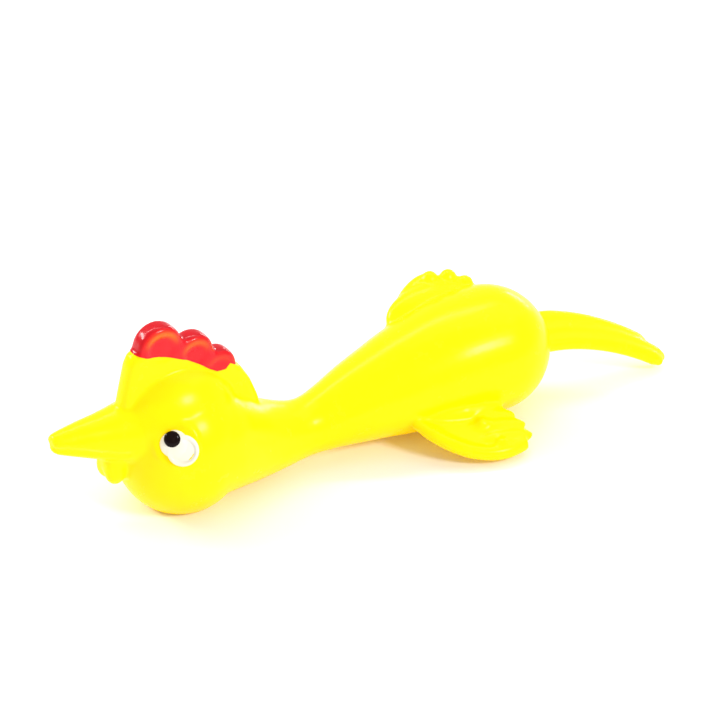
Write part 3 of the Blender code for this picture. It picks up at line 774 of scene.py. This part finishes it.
remember_skin(clay)
head_piece = clay
neck_front_piece = halve(head_piece, NOD_PLACE, NOD_DIRECTION, "throat_bend")
neck_middle_piece = halve(neck_front_piece, at(TWIST_FRONT, 0, 0), BACK, "neck_twist")
neck_rear_piece = halve(neck_middle_piece, at(TWIST_BACK, 0, 0), BACK, "neck_stretch")
torso_piece = halve(neck_rear_piece, at(STRETCH_BACK, 0, 0), BACK, "torso_skin")
tail_piece = halve(torso_piece, at(TAIL_CUT, 0, 0), BACK, "tail_root_skin")
tail_tip_piece = halve(tail_piece, at(TAIL_SPLIT, 0, 0), BACK, "tail_tip_skin")
beak_piece = halve(head_piece, at(BEAK_CUT, 0, 0), -BACK, "beak_skin")
wattle_piece = halve(beak_piece, at(0, 0, WATTLE_CUT), Vector((0, 0, -1)), "wattle_skin")
comb_piece = halve(head_piece, hinge - comb_up * COMB_CUT * MM, comb_up, "comb_skin")
head_piece.name = "head_skin"


WING_CUT_SHIFT = 0.9


def wing_cut(side, root_front, root_back):
    """A plane along the wing's root, moved out a little: its place, and its outward normal."""
    front = on_body(root_front[0], root_front[1] + WING_CUT_SHIFT, 0, side)
    back = on_body(root_back[0], root_back[1] + WING_CUT_SHIFT, 0, side)
    run = (back - front).normalized()
    outwards = WING_FRAMES[side][0]
    outward_axis = (outwards - run * run.dot(outwards)).normalized()
    return front, outward_axis


LEFT_ROOT = ((41.3, 9.0), (57.8, 11.6))
RIGHT_ROOT = ((43.7, 9.7), (59.0, 11.3))
left_place, left_out = wing_cut(-1, *LEFT_ROOT)
right_place, right_out = wing_cut(1, *RIGHT_ROOT)
left_wing_piece = halve(torso_piece, left_place, left_out, "left_wing_skin")
right_wing_piece = halve(torso_piece, right_place, right_out, "right_wing_skin")

skin_pieces = [head_piece, beak_piece, wattle_piece, comb_piece, neck_front_piece, neck_middle_piece,
               neck_rear_piece, torso_piece, left_wing_piece, right_wing_piece, tail_piece,
               tail_tip_piece]
for piece in skin_pieces:
    caps = dress(piece)
    print("%-18s %6d faces, %4d cap corners" % (piece.name, len(piece.data.polygons), caps))

# %% [markdown]
# ## Paint on the comb
#
# The red is brushed over the comb's crest down to a wavy line. It is modelled as a second skin just
# outside the rubber: the comb is copied, grown by a tenth of a millimetre, and cut with a block
# whose lower edge follows the brush.

# %% Comb paint
PAINT_THICKNESS = 0.12
PAINT_LINE_STEPS = 6
# Thin paint shows as a warm arc inside each lobe, this deep from its edge, weaker towards the back.
ARC_DEPTH, ARC_WIDTH = 1.15, 0.5
ARC_STRENGTHS = (1.0, 0.7, 0.2)
PAINT_EDGE = ((-12.5, 31.6), (-9.6, 31.0), (-7.2, 29.9), (-3.4, 29.0), (-0.6, 27.9), (2.2, 26.3),
              (4.6, 24.6), (6.3, 23.4), (8.1, 23.4), (8.9, 24.2), (11.0, 23.0), (13.0, 22.0))
paint_line = []
for (start_x, start_z), (end_x, end_z) in zip(PAINT_EDGE, PAINT_EDGE[1:]):
    for step in range(PAINT_LINE_STEPS):
        share = step / PAINT_LINE_STEPS
        back = start_x + (end_x - start_x) * share
        wave = 0.05 * math.sin(2.3 * back)
        paint_line.append(at(back, 0.0, start_z + (end_z - start_z) * share + wave))
paint_line += [at(end_x, 0.0, end_z), at(14.0, 0, 38.0), at(-14.0, 0, 38.0)]
brush = plate("brush", paint_line, 12 * MM, 0.01 * MM)
paint = copied(comb_piece, "comb_paint_film")
grown = read_points(paint) + read_normals(paint) * PAINT_THICKNESS * MM
paint.data.vertices.foreach_set("co", grown.ravel())
cut_with(paint, "INTERSECT", brush)
for name in ("skin_normal", "skin"):
    if name in paint.data.attributes:
        paint.data.attributes.remove(paint.data.attributes[name])
select_only(paint)
bpy.ops.mesh.customdata_custom_splitnormals_clear()
bpy.ops.object.shade_smooth_by_angle(angle=math.radians(50))
# How far the paint turns away from the comb's flat sides; the red is darkened there as painted shade.
rim = 1.0 - np.abs(read_normals(paint)[:, 1])
places = toy_places(read_points(paint))
along_comb, up_comb = comb_places(places)
thin = np.zeros(len(places))
for (middle, up, radius), strength in zip(COMB_LOBES, ARC_STRENGTHS):
    depth = radius - np.hypot(along_comb - middle, up_comb - up)
    high_part = smooth_step(0.0, 0.7 * radius, up_comb - up - 0.25 * (along_comb - middle))
    thin = np.maximum(thin, strength * np.exp(-((depth - ARC_DEPTH) / ARC_WIDTH)**2) * high_part)
for name, values in (("rim", rim), ("thin", thin)):
    attribute = paint.data.attributes.new(name, "FLOAT", "POINT")
    attribute.data.foreach_set("value", values)
print("paint film has", len(paint.data.polygons), "faces")

# %% [markdown]
# ## Painted eyes
#
# An eye is three touches of the brush on a moulded button: a white dome, a white crescent on the
# lower lid behind it, and a black pupil that stands a little proud. The two white touches melt into
# one piece with a groove between them.

# %% Eyes
DOME = (2.4, 2.4, 1.0)
LID = (2.5, 2.5, 0.72)
LID_RIM_RADIUS = 2.35
PUPIL = (1.4, 1.4, 0.62)
PUPIL_STAND_OFF = 0.5
EYE_VOXEL = 0.11 * MM
whites, pupils = [], []
for side, word in ((-1, "left"), (1, "right")):
    place, facing = face_point(EYE_FORWARD, EYE_ABOVE, side)
    turn = facing_turn(facing)
    back_dir, up_dir = turn.col[0], turn.col[1]
    dome_place = place + (back_dir * 0.25 - up_dir * 0.75 - facing * 0.35) * MM
    dome = pebble("eye_dome", dome_place, DOME, turn, segments=64, rings=32)
    lid_place, lid_facing = face_point(EYE_FORWARD - 1.1, EYE_ABOVE - 1.75, side)
    lid = pebble("eye_lid", lid_place - lid_facing * 0.42 * MM, LID, facing_turn(lid_facing),
                 segments=64, rings=32)
    lid_rim = ring_on(lid_place + lid_facing * 0.08 * MM, lid_facing, LID_RIM_RADIUS, 0.72, (72, 16))
    white = joined(word + "_eye_paint", [dome, lid, lid_rim])
    finish_with(white, "REMESH", mode="VOXEL", voxel_size=EYE_VOXEL)
    finish_with(white, "SMOOTH", factor=0.5, iterations=3)
    whites.append(white)
    pupil_place = place + facing * PUPIL_STAND_OFF * MM
    pupil = pebble(word + "_pupil_paint", pupil_place, PUPIL, turn, segments=48, rings=24)
    pupils.append(pupil)
    select_only(white, pupil)
    bpy.ops.object.shade_smooth()
print("eyes painted")

# %% [markdown]
# ## Materials
#
# Soft rubber is never one flat yellow: the pigment is a little uneven, thin and low places look
# warmer, and fine dimples and moulding marks break up its shine. Reusable node groups give the
# mottling and the surface, and each material keeps its own shader.

# %% Node helpers
def noise(tree, vector, scale, detail=3.0, roughness=0.5):
    node = tree.nodes.new("ShaderNodeTexNoise")
    node.inputs["Scale"].default_value = scale
    node.inputs["Detail"].default_value = detail
    node.inputs["Roughness"].default_value = roughness
    tree.links.new(vector, node.inputs["Vector"])
    return node.outputs["Fac"]


def ramp(tree, value, low, high):
    """Map a value between low and high onto 0 to 1, clamped."""
    node = tree.nodes.new("ShaderNodeMapRange")
    node.inputs["From Min"].default_value = low
    node.inputs["From Max"].default_value = high
    tree.links.new(value, node.inputs["Value"])
    return node.outputs["Result"]


def mix(tree, factor, first, second):
    """Mix two colours; each is a socket or a plain colour."""
    node = tree.nodes.new("ShaderNodeMix")
    node.data_type = "RGBA"
    tree.links.new(factor, node.inputs[0])
    for value, socket in ((first, node.inputs[6]), (second, node.inputs[7])):
        if isinstance(value, tuple):
            socket.default_value = (*value, 1.0)
        else:
            tree.links.new(value, socket)
    return node.outputs[2]


def calculate(tree, operation, first, second):
    node = tree.nodes.new("ShaderNodeMath")
    node.operation = operation
    for value, socket in ((first, node.inputs[0]), (second, node.inputs[1])):
        if isinstance(value, (int, float)):
            socket.default_value = value
        else:
            tree.links.new(value, socket)
    return node.outputs[0]


def moulded_surface():
    """Group: fine orange-peel, soft dents and small pits as a height, and masks of mottling and wear."""
    tree = bpy.data.node_groups.new("Moulded surface", "ShaderNodeTree")
    tree.interface.new_socket(name="Vector", in_out="INPUT", socket_type="NodeSocketVector")
    vector = tree.nodes.new("NodeGroupInput").outputs["Vector"]
    dents = noise(tree, vector, 110.0, 2.0)
    peel = noise(tree, vector, 1500.0, 2.0)
    cells = tree.nodes.new("ShaderNodeTexVoronoi")
    cells.inputs["Scale"].default_value = 260.0
    tree.links.new(vector, cells.inputs["Vector"])
    pits = ramp(tree, cells.outputs["Distance"], 0.07, 0.02)
    height = calculate(tree, "ADD", calculate(tree, "MULTIPLY", dents, 0.8),
                       calculate(tree, "MULTIPLY", peel, 0.06))
    height = calculate(tree, "SUBTRACT", height, calculate(tree, "MULTIPLY", pits, 0.10))
    mottle = ramp(tree, noise(tree, vector, 45.0, 4.0, 0.6), 0.3, 0.7)
    wear = ramp(tree, noise(tree, vector, 320.0, 5.0, 0.65), 0.52, 0.72)
    out = tree.nodes.new("NodeGroupOutput")
    for label, value in (("Height", height), ("Mottle", mottle), ("Wear", wear)):
        tree.interface.new_socket(name=label, in_out="OUTPUT", socket_type="NodeSocketFloat")
        tree.links.new(value, out.inputs[label])
    return tree


SURFACE = moulded_surface()


def object_place(tree):
    return tree.nodes.new("ShaderNodeTexCoord").outputs["Object"]


def painted_mask(tree, name):
    node = tree.nodes.new("ShaderNodeAttribute")
    node.attribute_name = name
    return node.outputs["Fac"]


def start_material(name):
    """A material with its own shader, and the surface group laid over the object's own places."""
    made = bpy.data.materials.new(name)
    made.use_nodes = True
    tree = made.node_tree
    shader = tree.nodes["Principled BSDF"]
    surface = tree.nodes.new("ShaderNodeGroup")
    surface.node_tree = SURFACE
    tree.links.new(object_place(tree), surface.inputs["Vector"])
    return made, tree, shader, surface


def finish_material(tree, shader, surface, colour, roughness, strength, distance, height=None):
    """Wire the colour, a roughness that grows with wear, and the relief to the shader."""
    tree.links.new(colour, shader.inputs["Base Color"])
    rough = tree.nodes.new("ShaderNodeMapRange")
    rough.inputs["To Min"].default_value, rough.inputs["To Max"].default_value = roughness
    tree.links.new(surface.outputs["Wear"], rough.inputs["Value"])
    tree.links.new(rough.outputs["Result"], shader.inputs["Roughness"])
    relief = tree.nodes.new("ShaderNodeBump")
    relief.inputs["Strength"].default_value = strength
    relief.inputs["Distance"].default_value = distance
    tree.links.new(height or surface.outputs["Height"], relief.inputs["Height"])
    tree.links.new(relief.outputs["Normal"], shader.inputs["Normal"])

# %% [markdown]
# Yellow rubber: two close yellows in the mottling, and a warmer one where the wear mask says that
# hands have dulled it. A faint orange glow stands for the light that passes through the rubber.
# The red of the comb is darkened at the film's rounded edges as painted shade, and is warmer where the
# film is thin.

# %% Rubber and paints
YELLOW, LIGHT_YELLOW, WORN_YELLOW = (0.94, 0.70, 0.0004), (0.96, 0.76, 0.001), (0.92, 0.65, 0.006)
GLOW, GLOW_STRENGTH = (1.0, 0.5, 0.0), 0.22
RED, BRIGHT_RED = (0.88, 0.003, 0.012), (0.92, 0.010, 0.018)
# The darker red is painted shade for the rounded edges of the comb paint.
SHADED_EDGE_RED, WARM_RED = (0.56, 0.001, 0.008), (1.0, 0.16, 0.004)
CREAM, WHITE = (0.88, 0.80, 0.58), (0.93, 0.90, 0.80)
BLACK, DUSTY_BLACK = (0.007, 0.002, 0.001), (0.018, 0.009, 0.006)


def yellow_rubber():
    made, tree, shader, surface = start_material("yellow_rubber_skin")
    yellow = mix(tree, surface.outputs["Mottle"], YELLOW, LIGHT_YELLOW)
    worn = calculate(tree, "MULTIPLY", surface.outputs["Wear"], 0.25)
    yellow = mix(tree, worn, yellow, WORN_YELLOW)
    shader.inputs["Specular IOR Level"].default_value = 0.12
    shader.inputs["Emission Color"].default_value = (*GLOW, 1.0)
    shader.inputs["Emission Strength"].default_value = GLOW_STRENGTH
    finish_material(tree, shader, surface, yellow, (0.22, 0.32), 0.25, 0.0002)
    return made


def red_paint():
    made, tree, shader, surface = start_material("red_comb_paint")
    # Painted shade: the red darkens towards the film's rounded edges.
    edge = ramp(tree, painted_mask(tree, "rim"), 0.12, 0.6)
    red = mix(tree, surface.outputs["Mottle"], RED, BRIGHT_RED)
    red = mix(tree, edge, red, SHADED_EDGE_RED)
    red = mix(tree, painted_mask(tree, "thin"), red, WARM_RED)
    shader.inputs["Specular IOR Level"].default_value = 0.22
    shader.inputs["Coat Weight"].default_value = 0.12
    shader.inputs["Coat Roughness"].default_value = 0.08
    brush_marks = noise(tree, object_place(tree), 900.0, 2.0)
    height = calculate(tree, "ADD", calculate(tree, "MULTIPLY", brush_marks, 0.15),
                       surface.outputs["Height"])
    finish_material(tree, shader, surface, red, (0.2, 0.36), 0.5, 0.00025, height)
    return made


def white_paint():
    made, tree, shader, surface = start_material("white_eye_paint")
    white = mix(tree, surface.outputs["Mottle"], CREAM, WHITE)
    finish_material(tree, shader, surface, white, (0.3, 0.45), 0.4, 0.0002)
    return made


def black_paint():
    made, tree, shader, surface = start_material("black_pupil_paint")
    black = mix(tree, surface.outputs["Wear"], BLACK, DUSTY_BLACK)
    shader.inputs["Specular IOR Level"].default_value = 0.12
    finish_material(tree, shader, surface, black, (0.12, 0.25), 0.3, 0.00015)
    return made


def coat(thing, made):
    thing.data.materials.clear()
    thing.data.materials.append(made)


for things, made in ((skin_pieces, yellow_rubber()), ([paint], red_paint()),
                     (whites, white_paint()), (pupils, black_paint())):
    for thing in things:
        coat(thing, made)
print(len(bpy.data.materials), "materials")

# %% [markdown]
# ## How the pieces ride
#
# Rigid stretches ride on one body. The pieces of rubber that bend stay where they were cut and follow
# no body. Every imported part that a piece stands for is hidden.

# %% Riding and replacing
for piece, nodes in ((head_piece, ("head", "comb_saddle")), (beak_piece, ("beak",)),
                     (wattle_piece, ("wattle",))):
    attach(piece, "head_body")
    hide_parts(*nodes)
for word, white, pupil in zip(("left", "right"), whites, pupils):
    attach(white, "head_body")
    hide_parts(word + "_eye_white")
    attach(pupil, "head_body")
    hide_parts(word + "_pupil")

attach(torso_piece, "torso_body")
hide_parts("torso")
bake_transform(neck_rear_piece)
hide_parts("neck_rear")
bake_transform(neck_middle_piece)
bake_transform(neck_front_piece)
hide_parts("neck_front")
for thing in (comb_piece, paint):
    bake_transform(thing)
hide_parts("comb_crest")
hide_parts("comb_paint")
for piece, word, place, outward_axis in ((left_wing_piece, "left", left_place, left_out),
                                         (right_wing_piece, "right", right_place, right_out)):
    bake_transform(piece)
    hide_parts(word + "_wing")
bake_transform(tail_piece)
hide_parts("tail_base")
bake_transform(tail_tip_piece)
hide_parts("tail_tip")

# %% [markdown]
# ## Floor, light and camera
#
# The toy lies on a pale table in a bright, soft studio. A white world fills the shadows, and five
# soft boxes round the camera and overhead paint the long reflections on the rubber. The camera
# stands far away with a long lens, so the toy is seen almost without perspective.

# %% Stage
select_only()
bpy.ops.mesh.primitive_plane_add(size=6.0, location=(0.0, 0.0, 0.0))
floor = bpy.context.object
floor.name = "table_floor"
paper = bpy.data.materials.new("pale_paper")
paper.use_nodes = True
paper_shader = paper.node_tree.nodes["Principled BSDF"]
paper_shader.inputs["Base Color"].default_value = (0.92, 0.92, 0.92, 1.0)
paper_shader.inputs["Roughness"].default_value = 0.85
paper_shader.inputs["Specular IOR Level"].default_value = 0.1
coat(floor, paper)

scene = bpy.context.scene
world = bpy.data.worlds.new("white_room")
scene.world = world
world.use_nodes = True
world.node_tree.nodes["Background"].inputs["Color"].default_value = (1.0, 1.0, 1.0, 1.0)
world.node_tree.nodes["Background"].inputs["Strength"].default_value = 0.60
scene.view_settings.view_transform = "Standard"
scene.view_settings.look = "None"
scene.view_settings.exposure = 0.0


VIEW_AZIMUTH, VIEW_ELEVATION = -30.0, 31.0
azimuth, elevation = math.radians(VIEW_AZIMUTH), math.radians(VIEW_ELEVATION)
TO_RIGHT = Vector((math.cos(azimuth), math.sin(azimuth), 0.0))
TO_CAMERA = Vector((math.sin(azimuth) * math.cos(elevation),
                    -math.cos(azimuth) * math.cos(elevation), math.sin(elevation)))
TO_TOP = TO_CAMERA.cross(TO_RIGHT)


def soft_box(name, right, top, near, along, width, height, power):
    """An area light aimed at the toy; its place (in metres) and long side are as the camera sees."""
    light = bpy.data.lights.new(name, "AREA")
    light.shape = "RECTANGLE"
    light.size = width
    light.size_y = height
    light.energy = power
    lamp = bpy.data.objects.new(name, light)
    scene.collection.objects.link(lamp)
    place = TO_RIGHT * right + TO_TOP * top + TO_CAMERA * near
    backwards = place.normalized()
    side = TO_RIGHT * along[0] + TO_TOP * along[1] + TO_CAMERA * along[2]
    side = (side - backwards * side.dot(backwards)).normalized()
    turn = Matrix((side, backwards.cross(side), backwards)).transposed().to_4x4()
    lamp.matrix_world = Matrix.Translation(place) @ turn
    return lamp


soft_box("overhead", -0.30, 0.78, 0.05, (1, 0, 0), 1.1, 0.06, 3.0)
soft_box("box_front", 0.56, 0.22, 0.66, (1, 0.3, 0), 0.22, 0.15, 3.9)
soft_box("box_left", -0.80, 0.50, 0.05, (0.47, 0.33, -0.91), 0.40, 0.11, 4.6)
soft_box("box_top", 0.27, 0.78, 0.18, (1, 0, 0), 0.90, 0.60, 1.3)
soft_box("strip_rear", 0.36, 0.50, -0.58, (1, -0.4, 0), 0.3, 0.05, 0.9)

LENS, CAMERA_DISTANCE = 500.0, 1.695
camera_data = bpy.data.cameras.new("camera")
camera_data.lens = LENS
camera_data.sensor_width = 36.0
camera = bpy.data.objects.new("camera", camera_data)
scene.collection.objects.link(camera)
low, high = map(Vector, CAD_BOX)
middle = (low + high) / 2
camera.location = middle + TO_CAMERA * CAMERA_DISTANCE
camera.rotation_euler = (-TO_CAMERA).to_track_quat("-Z", "Y").to_euler()
scene.camera = camera

# %% [markdown]
# ## Size
#
# The imported model's box is printed. The visual model has to stay within the imported
# model's box.

# %% Write the size and finish
print("cad box   ", [[round(v / MM, 1) for v in corner] for corner in CAD_BOX])
